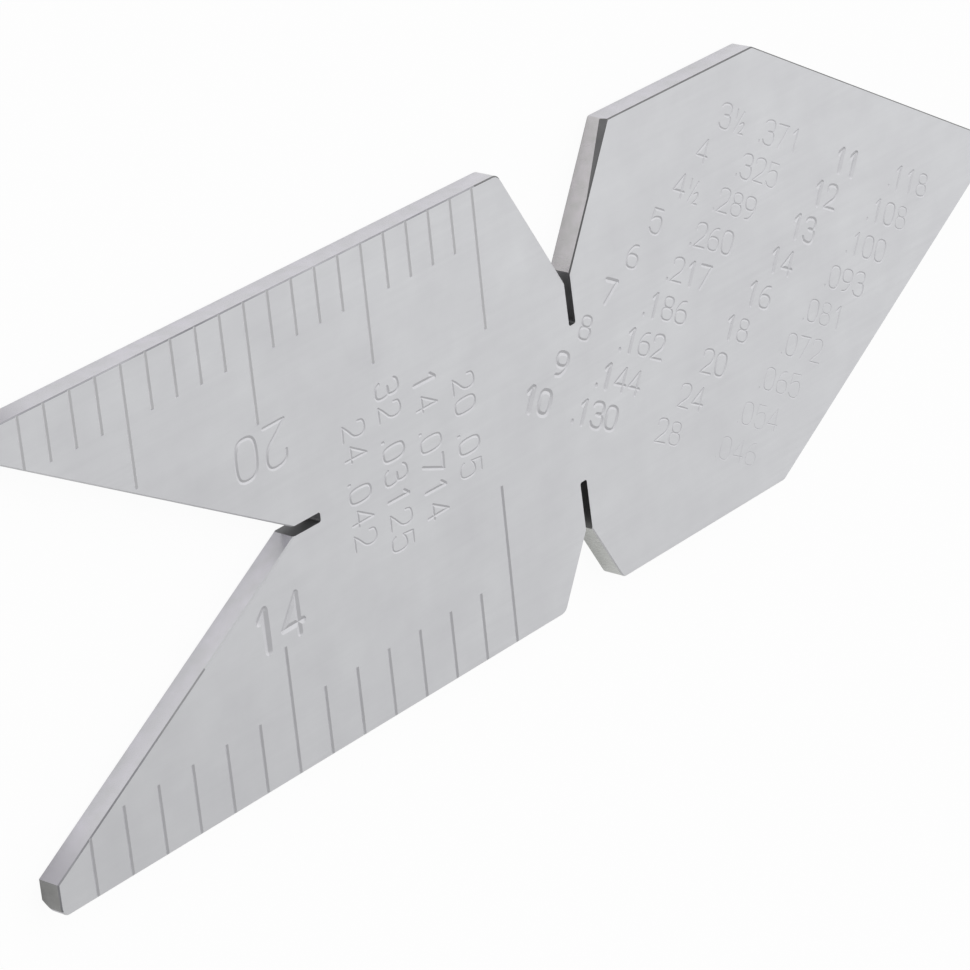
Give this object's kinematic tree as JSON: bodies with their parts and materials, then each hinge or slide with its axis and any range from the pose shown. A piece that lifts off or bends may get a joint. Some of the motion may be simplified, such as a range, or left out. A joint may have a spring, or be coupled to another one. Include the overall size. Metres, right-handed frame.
{
  "type": "center gauge",
  "caption": "Flat steel gauge plate with a fish-tail notch, a point and two edge notches, all at the thread angle, and inch graduations on its tail half.",
  "frame": {"origin": "middle of the plate's length and width, on the back face that it lies on", "axes": "+X from the fish-tail to the point, +Y to the edge with the large notch, +Z out of the face with the twentieths and fourteenths"},
  "size_m": [0.0592, 0.019, 0.001],
  "materials": {
    "satin_steel": "satin, fine grained, with ground edges"
  },
  "bodies": {
    "root": {"gauge_plate": "satin_steel"}
  },
  "joints": []
}
